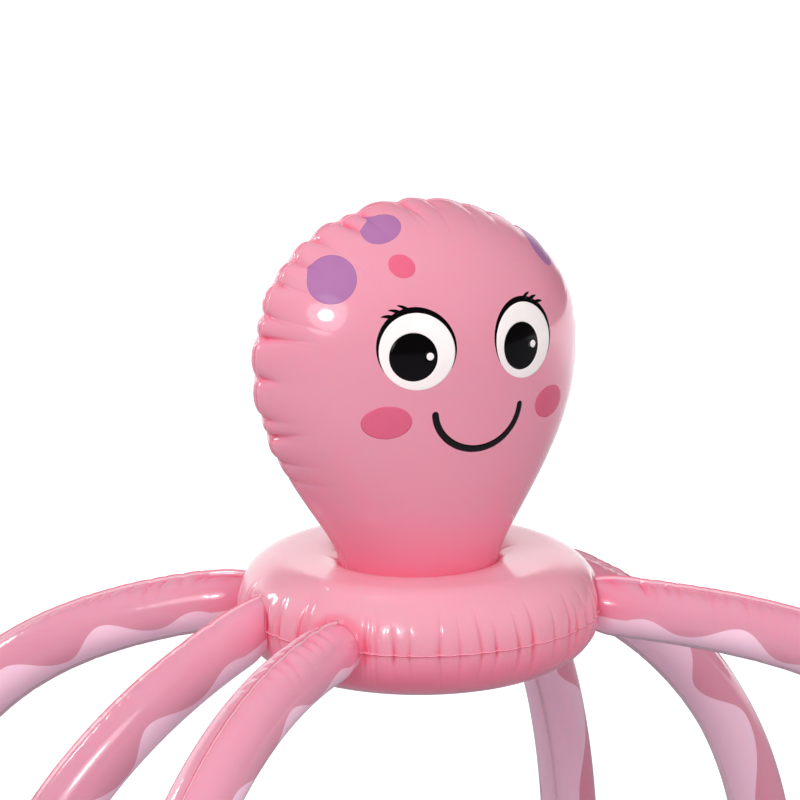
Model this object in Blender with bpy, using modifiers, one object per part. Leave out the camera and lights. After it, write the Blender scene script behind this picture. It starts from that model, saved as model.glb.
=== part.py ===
"""Inflatable octopus of welded PVC sheet: a pillow head standing in a swim ring on six arms.

Row frame: origin on the ring's axis at ground level, +Z up, the face looks towards -Y.
Every sheet is an open surface given its thickness by Solidify. Two sheets that are welded
together in the real object keep GAP between them here.
"""
import bpy
import bmesh
from math import cos, pi, radians, sin
from mathutils import Matrix, Vector

# ---------------------------------------------------------------- driving dimensions, metres
SHEET = 0.0008            # thickness of every welded sheet
GAP = 0.0003              # between two sheets that are welded face to face
FLANGE = 0.008            # width of a weld flange

RING_HEIGHT = 1.12        # ground to the ring's weld plane
RING_RADIUS = 0.315       # ring axis to the centre of its tube
RING_TUBE = 0.125         # radius of the ring's tube
HOLE_RADIUS = RING_RADIUS - RING_TUBE
RING_STRIPS = 8           # faces across one sheet of the ring
HUG_POWER = 3.0           # 2 is a round tube; more makes the top sheet fuller towards the neck

ARM_START = 0.465         # ring axis to where an arm's tube starts
ARM_ROOT_RADIUS = 0.068   # radius of an arm's tube beside the ring
ARM_FOOT_RADIUS = 0.080   # radius of an arm's tube at the ground
ARM_RINGS = 14            # stretches along an arm

# Each arm's centre line is one cubic curve in an upright plane through the ring's axis. It aims
# at the ring's weld plane at ARM_AIM, and ends upright at the foot. The front feet and the
# rear left one stand FOOT_DEPTH ahead of and behind the ring's axis.
ARM_AIM = 0.42
FOOT_DEPTH = 0.7855
FRONT_BEARING = 56.2
REAR_LEFT_BEARING = 125.3

# bearing from the face and dip at the ring in degrees, root handle, foot handle and the foot's
# distance from the ring's axis in metres
ARMS = {
    "arm_a": (-REAR_LEFT_BEARING, 7.7, 0.667, 0.671, -FOOT_DEPTH / cos(radians(REAR_LEFT_BEARING))),
    "arm_b": (-92.5, 26.0, 0.473, 0.515, 1.17),
    "arm_c": (-FRONT_BEARING, 0.0, 0.657, 0.640, FOOT_DEPTH / cos(radians(FRONT_BEARING))),
    "arm_d": (FRONT_BEARING, 5.8, 0.785, 0.828, FOOT_DEPTH / cos(radians(FRONT_BEARING))),
    "arm_e": (93.4, 27.5, 0.474, 0.523, 1.15),
    "arm_f": (125.2, 29.8, 0.419, 0.422, 1.05),
}

# The head's seam line and depth, as cubic curves through (half width, half depth, height
# above the ring's weld plane): the neck, the flare up to the widest place, and the crown.
HEAD_NECK = ((0.165, 0.145, -0.02), (0.165, 0.145, 0.03), (0.186, 0.162, 0.07), (0.200, 0.175, 0.12))
HEAD_FLARE = (HEAD_NECK[-1], (0.222, 0.195, 0.205), (0.430, 0.250, 0.385), (0.424, 0.250, 0.610))
HEAD_CROWN = (HEAD_FLARE[-1], (0.424, 0.250, 0.830), (0.260, 0.120, 0.967), (0.0, 0.0, 0.967))
HEAD_ROWS = (3, 9, 9)     # rows of faces in the neck, the flare and the crown
HEAD_COLUMNS = 14
NECK_POWER = 0.50         # 0.5 makes a section elliptical
BULB_POWER = 0.68         # more makes it leaner towards the seam, as a pillow is

STEM_BORE = 0.0052        # valve stem, inside radius
STEM_RADIUS = 0.0080
STEM_OUT = 0.018          # how far a stem stands out of its patch
STEM_IN = 0.003
PATCH_BORE = 0.0084
PATCH_RADIUS = 0.0200
PATCH_SEAT = 0.0205       # radius of the hole that a patch closes
PLUG_RADIUS = 0.0088
PLUG_THICKNESS = 0.0022
SHANK_RADIUS = 0.0043
SHANK_LENGTH = 0.0045
HINGE_OFFSET = 0.0105     # valve axis to the plug's strap hinge
STRAP_WIDTH = 0.006
FLAP_RADIUS = 0.0070
FLAP_THICKNESS = 0.0006
TURN_STEPS = 24           # faces round a turned piece
RING_STEPS = 40           # faces round the ring

HEAD_VALVE_STATION = 0.5  # how far up the flare the head's valve sits, 0 to 1
RING_VALVE_BEARING = 180.0
RING_VALVE_LIFT = 62.0    # degrees up the tube from its outer seam


# ---------------------------------------------------------------- scene, materials, helpers
for item in list(bpy.data.objects):
    bpy.data.objects.remove(item, do_unlink=True)

PARTS = bpy.data.collections.new("inflatable_octopus")
GUIDES = bpy.data.collections.new("guides_and_cutters")
bpy.context.scene.collection.children.link(PARTS)
bpy.context.scene.collection.children.link(GUIDES)


def material(name, colour, roughness=0.18, metallic=0.0):
    """One Principled material."""
    made = bpy.data.materials.new(name)
    made.use_nodes = True
    shader = made.node_tree.nodes["Principled BSDF"]
    shader.inputs["Base Color"].default_value = (*colour, 1.0)
    shader.inputs["Roughness"].default_value = roughness
    shader.inputs["Metallic"].default_value = metallic
    return made


PINK = (0.86, 0.37, 0.46)
PALE_PINK = (0.90, 0.50, 0.58)
CLEAR_WHITE = (0.90, 0.88, 0.88)


def add_mesh(name, work, colour, matrix=None, guide=False):
    """Turns a bmesh into a named object with its own material."""
    mesh = bpy.data.meshes.new(name)
    work.to_mesh(mesh)
    work.free()
    made = bpy.data.objects.new(name, mesh)
    if matrix is not None:
        made.matrix_world = matrix
    (GUIDES if guide else PARTS).objects.link(made)
    if guide:
        made.hide_render = True
        made.display_type = "WIRE"
    else:
        mesh.materials.append(material(name, colour))
        mesh.shade_smooth()
    return made


def thicken(made, offset=1.0):
    """Gives an open sheet its thickness on the side its normals point to."""
    shell = made.modifiers.new("sheet", "SOLIDIFY")
    shell.thickness = SHEET
    shell.offset = offset
    shell.use_even_offset = False


def turn(name, profile, colour, matrix, steps=TURN_STEPS, closed=True):
    """A turned piece: profile points (radius, height) that run down the outer side."""
    work = bmesh.new()
    points = [work.verts.new((radius, 0.0, height)) for radius, height in profile]
    for first, second in zip(points, points[1:]):
        work.edges.new((first, second))
    if closed:
        work.edges.new((points[-1], points[0]))
    made = add_mesh(name, work, colour, matrix)
    screw = made.modifiers.new("turn", "SCREW")
    screw.axis = "Z"
    screw.steps = steps
    screw.render_steps = steps
    screw.use_merge_vertices = True
    screw.merge_threshold = 0.00001
    return made


def cut(target, cutter, operation="DIFFERENCE"):
    """Cuts or joins with an exact boolean."""
    step = target.modifiers.new(operation.lower(), "BOOLEAN")
    step.operation = operation
    step.solver = "EXACT"
    step.object = cutter


def bearing_vector(bearing):
    """Horizontal unit vector at a bearing from the face, positive towards +X."""
    return Vector((sin(radians(bearing)), -cos(radians(bearing)), 0.0))


def upright_frame(place, outward):
    """A frame at place whose Z axis points along outward."""
    return Matrix.Translation(place) @ outward.to_track_quat("Z", "Y").to_matrix().to_4x4()


def cubic(points, t):
    """A point on a cubic curve given by four control points."""
    first, second, third, last = (Vector(point) for point in points)
    s = 1.0 - t
    return first * s**3 + second * 3 * s * s * t + third * 3 * s * t * t + last * t**3


# ---------------------------------------------------------------- head
def head_stations():
    """Rows up the head as (half width, half depth, height) with the section's power."""
    rows = []
    for index, (curve, count) in enumerate(zip((HEAD_NECK, HEAD_FLARE, HEAD_CROWN), HEAD_ROWS)):
        for step in range(count):
            t = step / count
            blend = (0.0, t, 1.0)[index]
            power = NECK_POWER + (BULB_POWER - NECK_POWER) * blend
            rows.append((cubic(curve, t), power))
    rows.append((Vector(HEAD_CROWN[-1]), BULB_POWER))
    return rows


def seam_outward(rows, index):
    """Direction out of the seam line in the seam's plane, as (x, z), on the +X side."""
    below = rows[max(index - 1, 0)][0]
    above = rows[min(index + 1, len(rows) - 1)][0]
    along = Vector((above.x - below.x, above.z - below.z)).normalized()
    return Vector((along.y, -along.x))


def head_panel(name, side):
    """Front (side -1) or back (side +1) panel of the head, with its weld flange."""
    rows = head_stations()
    columns = HEAD_COLUMNS + 2                       # one more at each edge for the flange
    work = bmesh.new()
    bmesh.ops.create_grid(work, x_segments=columns, y_segments=len(rows) - 1, size=1.0)
    for vert in work.verts:
        column = round((vert.co.x + 1.0) / 2.0 * columns)
        row = round((vert.co.y + 1.0) / 2.0 * (len(rows) - 1))
        (width, depth, height), power = rows[row]
        across = min(max((column - 1) / HEAD_COLUMNS * 2.0 - 1.0, -1.0), 1.0)
        angle = across * pi / 2.0
        swell = depth * max(cos(angle), 0.0) ** (2.0 * power)
        x, z = width * sin(angle), height
        if column in (0, columns):
            out = seam_outward(rows, row)
            x += (1.0 if across > 0.0 else -1.0) * out.x * FLANGE
            z += out.y * FLANGE
        vert.co = (x, side * (swell + GAP / 2.0), RING_HEIGHT + z)
    bmesh.ops.remove_doubles(work, verts=work.verts, dist=0.00001)
    bmesh.ops.dissolve_degenerate(work, edges=work.edges, dist=0.00001)
    if sum(face.normal.y * side for face in work.faces) < 0.0:
        bmesh.ops.reverse_faces(work, faces=work.faces)
    made = add_mesh(name, work, PINK)
    thicken(made)
    return made


def head_base():
    """The oval sheet that closes the neck at the bottom."""
    width, depth, height = HEAD_NECK[0]
    place = Vector((0.0, 0.0, RING_HEIGHT + height - GAP - SHEET))
    work = bmesh.new()
    bmesh.ops.create_cone(work, cap_ends=True, segments=2 * HEAD_COLUMNS, radius1=1.0, radius2=1.0,
                          depth=SHEET)
    bmesh.ops.scale(work, verts=work.verts, vec=(width + FLANGE / 2.0, depth + FLANGE / 2.0, 1.0))
    made = add_mesh("head_base_disc", work, PINK, Matrix.Translation(place))
    made.data.set_sharp_from_angle(angle=radians(30.0))


# ---------------------------------------------------------------- ring
def ring_sheet(name, side):
    """Upper (side +1) or lower (side -1) sheet of the ring, with both weld flanges.

    The upper sheet swells in towards the neck that it holds.
    """
    profile = [(RING_RADIUS + RING_TUBE + FLANGE, side * GAP / 2.0)]
    for step in range(RING_STRIPS + 1):
        angle = pi * step / RING_STRIPS
        across, up = cos(angle), sin(angle)
        if side > 0 and across < 0.0:
            across, up = -(-across) ** (2.0 / HUG_POWER), max(up, 0.0) ** (2.0 / HUG_POWER)
        profile.append((RING_RADIUS + RING_TUBE * across, side * (GAP / 2.0 + RING_TUBE * up)))
    profile.append((HOLE_RADIUS - FLANGE, side * GAP / 2.0))
    made = turn(name, profile, PALE_PINK, Matrix.Translation((0.0, 0.0, RING_HEIGHT)),
                steps=RING_STEPS, closed=False)
    made.modifiers["turn"].use_normal_flip = side > 0
    thicken(made)
    return made


# ---------------------------------------------------------------- arms
def half_section(name, side):
    """Guide curve: one half of an arm's section at unit radius, with its two flanges."""
    lip = 1.0 + FLANGE / ARM_FOOT_RADIUS
    strips = 8
    points = [(0.0, lip)]
    points += [(sin(pi * step / strips), cos(pi * step / strips)) for step in range(strips + 1)]
    points += [(0.0, -lip)]
    offset = GAP / 2.0 / ARM_FOOT_RADIUS
    curve = bpy.data.curves.new(name, "CURVE")
    curve.dimensions = "2D"
    line = curve.splines.new("POLY")
    line.points.add(len(points) - 1)
    for point, (across, up) in zip(line.points, points):
        point.co = (side * (across + offset), up, 0.0, 1.0)
    made = bpy.data.objects.new(name, curve)
    made.hide_render = True
    made.display_type = "WIRE"
    GUIDES.objects.link(made)
    return made


def arm_line(name, curve_name):
    """An arm's centre line as a curve object's data, in its own upright plane (X out, Z up)."""
    _, dip, root_handle, foot_handle, foot = ARMS[name]
    curve = bpy.data.curves.new(curve_name, "CURVE")
    curve.dimensions = "3D"
    curve.resolution_u = ARM_RINGS
    curve.twist_mode = "MINIMUM"
    line = curve.splines.new("BEZIER")
    line.bezier_points.add(1)
    root, end = line.bezier_points
    for point in (root, end):
        point.handle_left_type = "FREE"
        point.handle_right_type = "FREE"
    slope = Vector((cos(radians(dip)), 0.0, -sin(radians(dip))))
    hinge_radius = RING_RADIUS + RING_TUBE
    start = Vector((ARM_AIM - hinge_radius, 0.0, 0.0))
    start += slope * ((ARM_START - ARM_AIM) / cos(radians(dip)))
    root.co = start
    root.handle_left = start - slope * 0.1
    root.handle_right = start + slope * root_handle
    root.radius = ARM_ROOT_RADIUS
    foot_place = Vector((foot - hinge_radius, 0.0, SHEET + GAP - RING_HEIGHT))
    end.co = foot_place
    end.handle_left = foot_place + Vector((0.0, 0.0, foot_handle))
    end.handle_right = foot_place - Vector((0.0, 0.0, 0.1))
    end.radius = ARM_FOOT_RADIUS
    return curve


def arm(name, sections):
    """One arm: a left and a right panel welded along its top and underside, and a flat sole."""
    bearing, _, _, _, foot = ARMS[name]
    out = bearing_vector(bearing)
    hinge = bpy.data.objects.new(name + "_hinge", None)
    hinge.location = out * (RING_RADIUS + RING_TUBE) + Vector((0.0, 0.0, RING_HEIGHT))
    hinge.rotation_euler.z = radians(bearing - 90.0)
    PARTS.objects.link(hinge)
    for side_name, section in sections.items():
        node = f"{name}_{side_name}_panel"
        curve = arm_line(name, node)
        curve.bevel_mode = "OBJECT"
        curve.bevel_object = section
        curve.materials.append(material(node, PINK))
        made = bpy.data.objects.new(node, curve)
        made.parent = hinge
        PARTS.objects.link(made)
        thicken(made, offset=-1.0 if side_name == "left" else 1.0)
    work = bmesh.new()
    bmesh.ops.create_cone(work, cap_ends=True, segments=TURN_STEPS, depth=SHEET,
                          radius1=ARM_FOOT_RADIUS + FLANGE, radius2=ARM_FOOT_RADIUS + FLANGE)
    place = out * foot + Vector((0.0, 0.0, SHEET / 2.0))
    sole = add_mesh(name + "_sole", work, PALE_PINK, Matrix.Translation(place))
    sole.data.set_sharp_from_angle(angle=radians(30.0))


# ---------------------------------------------------------------- valves
def valve(prefix, sheet, place, outward):
    """An oral valve: patch, sliding stem, plug on a strap and check flap, seated in a sheet."""
    frame = upright_frame(place, outward)
    seat = bmesh.new()
    bmesh.ops.create_cone(seat, cap_ends=True, segments=TURN_STEPS, radius1=PATCH_SEAT,
                          radius2=PATCH_SEAT, depth=0.03)
    cut(sheet, add_mesh(prefix + "_seat_cutter", seat, None, frame, guide=True))
    turn(prefix + "_patch", [(PATCH_BORE, SHEET), (PATCH_RADIUS, SHEET), (PATCH_RADIUS, 0.0),
                             (PATCH_BORE, 0.0)], CLEAR_WHITE, frame)
    turn(prefix + "_stem", [(STEM_BORE, STEM_OUT), (STEM_RADIUS - 0.0006, STEM_OUT),
                            (STEM_RADIUS, STEM_OUT - 0.0006), (STEM_RADIUS, -STEM_IN),
                            (STEM_BORE, -STEM_IN)], CLEAR_WHITE, frame)
    top = STEM_OUT + GAP
    plug = turn(prefix + "_plug", [(0.0, top + PLUG_THICKNESS), (PLUG_RADIUS, top + PLUG_THICKNESS),
                                   (PLUG_RADIUS, top), (SHANK_RADIUS, top),
                                   (SHANK_RADIUS - 0.0005, top - SHANK_LENGTH),
                                   (0.0, top - SHANK_LENGTH)], CLEAR_WHITE, frame, closed=False)
    strap = bmesh.new()
    bmesh.ops.create_cube(strap, size=1.0, matrix=Matrix.Diagonal(
        (HINGE_OFFSET - STEM_BORE, STRAP_WIDTH, PLUG_THICKNESS * 0.6, 1.0)))
    strap_place = frame @ Matrix.Translation(((HINGE_OFFSET + STEM_BORE) / 2.0, 0.0,
                                              top + PLUG_THICKNESS * 0.5))
    cut(plug, add_mesh(prefix + "_strap_union", strap, None, strap_place, guide=True), "UNION")
    flap_top = -STEM_IN - GAP
    flap = turn(prefix + "_flap", [(0.0, flap_top), (FLAP_RADIUS, flap_top),
                                   (FLAP_RADIUS, flap_top - FLAP_THICKNESS),
                                   (0.0, flap_top - FLAP_THICKNESS)], CLEAR_WHITE, frame, closed=False)
    for name in ("_patch", "_stem", "_plug", "_flap"):
        bpy.data.objects[prefix + name].data.set_sharp_from_angle(angle=radians(30.0))


# ---------------------------------------------------------------- assembly
def build():
    """Builds every piece in place."""
    head_panel("head_front_panel", -1.0)
    back = head_panel("head_back_panel", 1.0)
    head_base()
    top = ring_sheet("ring_top_sheet", 1.0)
    ring_sheet("ring_bottom_sheet", -1.0)
    sections = {"left": half_section("section_left", -1.0),
                "right": half_section("section_right", 1.0)}
    for name in ARMS:
        arm(name, sections)

    _, depth, height = cubic(HEAD_FLARE, HEAD_VALVE_STATION)
    _, next_depth, next_height = cubic(HEAD_FLARE, HEAD_VALVE_STATION + 0.05)
    outward = Vector((0.0, next_height - height, depth - next_depth)).normalized()
    place = Vector((0.0, depth + SHEET / 2.0, RING_HEIGHT + height))
    valve("head_valve", back, place, outward)
    lift = radians(RING_VALVE_LIFT)
    out = bearing_vector(RING_VALVE_BEARING)
    outward = (out * cos(lift) + Vector((0.0, 0.0, sin(lift)))).normalized()
    centre = out * RING_RADIUS + Vector((0.0, 0.0, RING_HEIGHT))
    valve("ring_valve", top, centre + outward * RING_TUBE, outward)


build()
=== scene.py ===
"""Looks of the inflatable octopus: air-filled PVC skins, welds, puckers, prints and valves.

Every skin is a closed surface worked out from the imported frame's boxes and a few curves. The
head, the ring and each arm are one skin each, with the welds as thin fins along their seams.
"""
from math import atan2, cos, degrees, pi, radians, sin, tau

import bmesh
import bpy
import numpy as np
from mathutils import Matrix, Vector
from mathutils.bvhtree import BVHTree


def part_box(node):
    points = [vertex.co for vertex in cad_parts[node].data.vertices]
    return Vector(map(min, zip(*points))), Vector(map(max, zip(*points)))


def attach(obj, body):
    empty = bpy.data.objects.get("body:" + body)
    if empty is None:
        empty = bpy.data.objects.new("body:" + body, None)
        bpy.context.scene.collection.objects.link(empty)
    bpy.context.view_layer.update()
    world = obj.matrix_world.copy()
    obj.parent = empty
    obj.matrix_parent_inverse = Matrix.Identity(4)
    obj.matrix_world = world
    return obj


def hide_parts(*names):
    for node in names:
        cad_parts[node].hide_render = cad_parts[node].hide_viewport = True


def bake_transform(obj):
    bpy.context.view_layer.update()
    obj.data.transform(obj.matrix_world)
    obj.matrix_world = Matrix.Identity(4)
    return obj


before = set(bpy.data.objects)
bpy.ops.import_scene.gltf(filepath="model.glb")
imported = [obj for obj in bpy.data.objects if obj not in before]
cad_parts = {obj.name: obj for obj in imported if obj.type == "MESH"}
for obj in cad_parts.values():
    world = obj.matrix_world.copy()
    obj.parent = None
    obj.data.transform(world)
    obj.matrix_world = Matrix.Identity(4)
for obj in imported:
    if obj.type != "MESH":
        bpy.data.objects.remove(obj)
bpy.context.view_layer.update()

# ---------------------------------------------------------------- sizes from the frame, metres
FLANGE = 0.008            # width of a weld in the CAD model
ring_low, ring_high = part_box("ring_top_sheet")
head_low, head_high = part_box("head_front_panel")
RING_HEIGHT = ring_low.z
RING_TUBE = ring_high.z - ring_low.z - 0.001
RING_RADIUS = ring_high.x - FLANGE - RING_TUBE
RING_OUTER = RING_RADIUS + RING_TUBE
HEAD_WIDTH = head_high.x - FLANGE
HEAD_DEPTH = -head_low.y
HEAD_TOP = head_high.z - FLANGE - RING_HEIGHT

# ---------------------------------------------------------------- the head's outline
# Cubic curves through (half width, half depth, height above the ring's weld plane).
HEAD_NECK = ((0.176, 0.158, -0.02), (0.176, 0.158, 0.03), (0.190, 0.168, 0.07), (0.200, 0.176, 0.12))
HEAD_FLARE = (HEAD_NECK[-1], (0.222, 0.195, 0.205), (0.430, HEAD_DEPTH, 0.385),
              (HEAD_WIDTH, HEAD_DEPTH, 0.610))
HEAD_CROWN = (HEAD_FLARE[-1], (HEAD_WIDTH, HEAD_DEPTH, 0.830), (0.260, 0.120, HEAD_TOP),
              (0.0, 0.0, HEAD_TOP))
WIDEST = HEAD_CROWN[0][2]
NECK_POWER = 0.50
BULB_POWER = 0.62
HEAD_WELD = 0.0032        # visible width of the head's weld
WELD_HALF = 0.0006        # half the thickness of any weld

# ---------------------------------------------------------------- arms
# dip at the ring in degrees, root handle and foot handle in metres, and how much the film puckers
ARM_AIM = 0.42            # distance from the ring's axis at which every arm aims at its weld plane
ARM_SHAPES = {
    "arm_a": (7.7, 0.667, 0.671, 1.2),
    "arm_b": (26.0, 0.473, 0.515, 0.35),
    "arm_c": (0.0, 0.657, 0.640, 1.0),
    "arm_d": (5.8, 0.785, 0.828, 1.5),
    "arm_e": (27.5, 0.474, 0.523, 0.9),
    "arm_f": (29.8, 0.419, 0.422, 0.8),
}
ARM_START = 0.465
ARM_ROOT_RADIUS = 0.068
ARM_FOOT_RADIUS = 0.080
ARM_WELD = 0.0080
SOLE_THICKNESS = 0.0008


# ---------------------------------------------------------------- mesh helpers
def smooth(value):
    """Smooth step of a value clipped to 0..1."""
    value = np.clip(value, 0.0, 1.0)
    return value * value * (3.0 - 2.0 * value)


def cubic(points, t):
    """Points on a cubic curve; t may be an array."""
    first, second, third, last = (np.array(point, float) for point in points)
    t = np.asarray(t, float)[..., None]
    s = 1.0 - t
    return first * s**3 + second * 3 * s * s * t + third * 3 * s * t * t + last * t**3


def grid_faces(rows, columns, wrap_rows=False, wrap_columns=True):
    """Quads of a grid of rows x columns vertices, as an array of index quadruples."""
    row = np.arange(rows if wrap_rows else rows - 1)[:, None]
    column = np.arange(columns if wrap_columns else columns - 1)[None, :]
    next_row = (row + 1) % rows
    next_column = (column + 1) % columns
    quads = [row * columns + column, row * columns + next_column,
             next_row * columns + next_column, next_row * columns + column]
    return np.stack([np.broadcast_to(quad, np.broadcast_shapes(row.shape, column.shape))
                     for quad in quads], -1).reshape(-1, 4)


def grid_normals(grid, wrap_rows=False, wrap_columns=True):
    """Unit normals of a grid of points, rows x columns x 3."""
    def along(axis, wrap):
        if wrap:
            return np.roll(grid, -1, axis) - np.roll(grid, 1, axis)
        return np.gradient(grid, axis=axis)
    normal = np.cross(along(1, wrap_columns), along(0, wrap_rows))
    length = np.linalg.norm(normal, axis=-1, keepdims=True)
    return normal / np.maximum(length, 1e-12)


def make_piece(name, points, faces, materials, attributes=None, slots=None):
    """A smooth mesh object from points and faces, with point attributes and material slots."""
    mesh = bpy.data.meshes.new(name)
    mesh.from_pydata([tuple(point) for point in points], [], [list(face) for face in faces])
    for key, values in (attributes or {}).items():
        values = np.asarray(values, np.float32)
        kind = "FLOAT" if values.ndim == 1 else "FLOAT_VECTOR"
        field = "value" if values.ndim == 1 else "vector"
        mesh.attributes.new(key, kind, "POINT").data.foreach_set(field, values.ravel())
    for entry in materials:
        mesh.materials.append(entry)
    if slots is not None:
        mesh.polygons.foreach_set("material_index", np.asarray(slots, np.int32))
    work = bmesh.new()
    work.from_mesh(mesh)
    bmesh.ops.remove_doubles(work, verts=work.verts, dist=1e-6)
    bmesh.ops.recalc_face_normals(work, faces=work.faces)
    work.to_mesh(mesh)
    work.free()
    mesh.shade_smooth()
    made = bpy.data.objects.new(name, mesh)
    bpy.context.scene.collection.objects.link(made)
    return made


def uneven_places(length, low, high, seed):
    """Places along a length with uneven spacing between low and high."""
    draw = np.random.default_rng(seed)
    places = []
    place = draw.uniform(0.2, 0.8) * low
    while place < length - 0.4 * low:
        places.append(place)
        place += draw.uniform(low, high)
    return np.array(places)


POCKET_RADIUS = 0.0150    # the opening in a skin under a valve's patch
POCKET_DEPTH = 0.045
PATCH_FLAT = (0.0225, 0.038)   # the skin is flat out to the first radius, and itself past the second
PATCH_SINK = 0.0007       # from the middle of a patch's thickness down to the skin


def open_for_valve(made, patch_name):
    """Lets a round pocket into a skin under a valve's patch, for the stem and the flap."""
    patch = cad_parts[patch_name]
    ring_points = np.array([patch.matrix_world @ vertex.co for vertex in patch.data.vertices])
    centre = ring_points.mean(0)
    axis = np.linalg.svd(ring_points - centre)[2][2]
    work = bmesh.new()
    work.from_mesh(made.data)
    places = np.array([vertex.co for vertex in work.verts]) - centre
    depth = places @ axis
    spread = np.linalg.norm(places - depth[:, None] * axis, axis=1)
    work.verts.ensure_lookup_table()
    # the skin lies flat under the patch
    out = axis * np.sign(axis @ (centre - (0.0, 0.0, RING_HEIGHT)))
    flat = smooth((PATCH_FLAT[1] - spread) / (PATCH_FLAT[1] - PATCH_FLAT[0])) * (np.abs(depth) < 0.02)
    shift = -(places @ out + PATCH_SINK) * flat
    for index in np.flatnonzero(flat > 0.0):
        work.verts[index].co += Vector(out * shift[index])
    near = np.flatnonzero((spread < POCKET_RADIUS - 0.002) & (np.abs(depth) < 0.02))
    inside = {work.verts[index] for index in near}
    faces = {face for vertex in inside for face in vertex.link_faces}
    rim = {vertex for face in faces for vertex in face.verts} - inside
    bmesh.ops.delete(work, geom=list(inside), context="VERTS")
    middle, axis = Vector(centre), Vector(axis)
    inward = axis if axis.dot(Vector((0.0, 0.0, RING_HEIGHT)) - middle) > 0.0 else -axis
    for vertex in rim:
        offset = vertex.co - middle
        along_axis = axis * offset.dot(axis)
        vertex.co = middle + along_axis + (offset - along_axis).normalized() * POCKET_RADIUS
    edges = [edge for edge in work.edges if edge.is_boundary and set(edge.verts) <= rim]
    made_geometry = bmesh.ops.extrude_edge_only(work, edges=edges)["geom"]
    floor_points = [item for item in made_geometry if isinstance(item, bmesh.types.BMVert)]
    floor_edges = [item for item in made_geometry if isinstance(item, bmesh.types.BMEdge)]
    bmesh.ops.translate(work, verts=floor_points, vec=inward * POCKET_DEPTH)
    bmesh.ops.contextual_create(work, geom=floor_edges)
    bmesh.ops.recalc_face_normals(work, faces=work.faces)
    work.to_mesh(made.data)
    work.free()


FOLD_PAINTED_SHADE = 0.85          # painted shade: share of the weld's colour at the bottom of a deep fold
NEAR_PAINTED_SHADE = 0.45          # painted shade where two pink pieces face each other closely
NECK_PAINTED_SHADE = 0.66          # painted shade low on the neck


class Creases:
    """Folds that start at places along a seam and run away from it."""

    def __init__(self, places, depths, reaches, core=0.0035, broad=0.013, turn=0.0, sharp=0.55):
        self.places = np.asarray(places, float)
        self.depths = np.broadcast_to(depths, self.places.shape)
        self.reaches = np.broadcast_to(reaches, self.places.shape)
        self.core = core
        self.broad = broad
        self.sharp = sharp
        self.turns = np.broadcast_to(turn, self.places.shape)

    def dent(self, along, away, shrink=1.0):
        """Depth at points along the seam and away from it; shrink scales distances along it."""
        total = np.zeros(np.broadcast_shapes(np.shape(along), np.shape(away)))
        for place, depth, reach, turn in zip(self.places, self.depths, self.reaches, self.turns):
            if depth < 1e-5:
                continue
            fade = np.clip(1.0 - away / reach, 0.0, 1.0) ** 1.4
            offset = np.abs(along - place - turn * away) * shrink
            valley = np.exp(-(offset / self.core) ** 1.2)
            slope = np.exp(-(offset / self.broad) ** 1.5)
            total += depth * fade * (self.sharp * valley + (1.0 - self.sharp) * slope)
        return total


def fold_painted_shade(dent, full):
    """How strongly a fold's valley is painted in shade with the weld's colour, 0..1; full is the depth that
    gives 1.
    """
    return FOLD_PAINTED_SHADE * np.clip(dent / full, 0.0, 1.0) ** 1.2


def scallop(along, places, swell, limit):
    """How far a seam swells out between its folds: nothing at each place, most half-way."""
    places = np.asarray(places)
    index = np.clip(np.searchsorted(places, along) - 1, 0, len(places) - 2)
    gap = places[index + 1] - places[index]
    share = np.clip((along - places[index]) / gap, 0.0, 1.0)
    return np.minimum(swell * gap, limit) * (4.0 * share * (1.0 - share)) ** 0.65


# ---------------------------------------------------------------- materials
def linear(red, green, blue):
    """An 8-bit sRGB colour as linear values."""
    values = np.array((red, green, blue), float) / 255.0
    return tuple(np.where(values <= 0.04045, values / 12.92, ((values + 0.055) / 1.055) ** 2.4))


PINK = linear(212, 150, 167)
RING_PINK = linear(216, 160, 174)
ARM_PINK = linear(208, 152, 170)
DEEP_PINK = linear(220, 99, 129)
# the weld's own deeper pink, also painted into folds, the low neck and the ring's underside as shade
WELD_AND_SHADE_PINK = linear(230, 84, 120)
UNDERSIDE = linear(241, 208, 222)
PURPLE = linear(169, 112, 161)
INK = linear(7, 5, 6)
EYE_WHITE = linear(250, 239, 237)
FIN_PALE_BACKLIT_PINK = linear(250, 222, 231)
VALVE_WHITE = linear(236, 232, 230)


class Nodes:
    """Small helper that adds nodes to one material."""

    def __init__(self, name):
        self.material = bpy.data.materials.new(name)
        self.material.use_nodes = True
        self.tree = self.material.node_tree
        self.shader = self.tree.nodes["Principled BSDF"]

    def add(self, kind, **settings):
        """Adds a node and sets its properties."""
        node = self.tree.nodes.new(kind)
        for key, value in settings.items():
            setattr(node, key, value)
        return node

    def link(self, source, target):
        """Links an output to an input."""
        self.tree.links.new(source, target)

    def attribute(self, name):
        """An attribute node."""
        return self.add("ShaderNodeAttribute", attribute_name=name)

    def noise(self, vector, scale, detail=3.0):
        """A noise texture over a vector, as its factor output."""
        node = self.add("ShaderNodeTexNoise")
        node.inputs["Scale"].default_value = scale
        node.inputs["Detail"].default_value = detail
        self.link(vector, node.inputs["Vector"])
        return node.outputs["Fac"]

    def ramp(self, value, low, high, from_low=0.35, from_high=0.65):
        """Maps a value on to low..high."""
        node = self.add("ShaderNodeMapRange")
        node.inputs["From Min"].default_value = from_low
        node.inputs["From Max"].default_value = from_high
        node.inputs["To Min"].default_value = low
        node.inputs["To Max"].default_value = high
        self.link(value, node.inputs["Value"])
        return node.outputs["Result"]

    def mix(self, factor, first, second):
        """Mixes two colours; each may be a value or a socket."""
        node = self.add("ShaderNodeMix", data_type="RGBA")
        for socket, value in zip((node.inputs[0], node.inputs[6], node.inputs[7]),
                                 (factor, first, second)):
            if isinstance(value, bpy.types.NodeSocket):
                self.link(value, socket)
            elif isinstance(value, tuple):
                socket.default_value = (*value, 1.0)
            else:
                socket.default_value = value
        return node.outputs[2]


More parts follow.
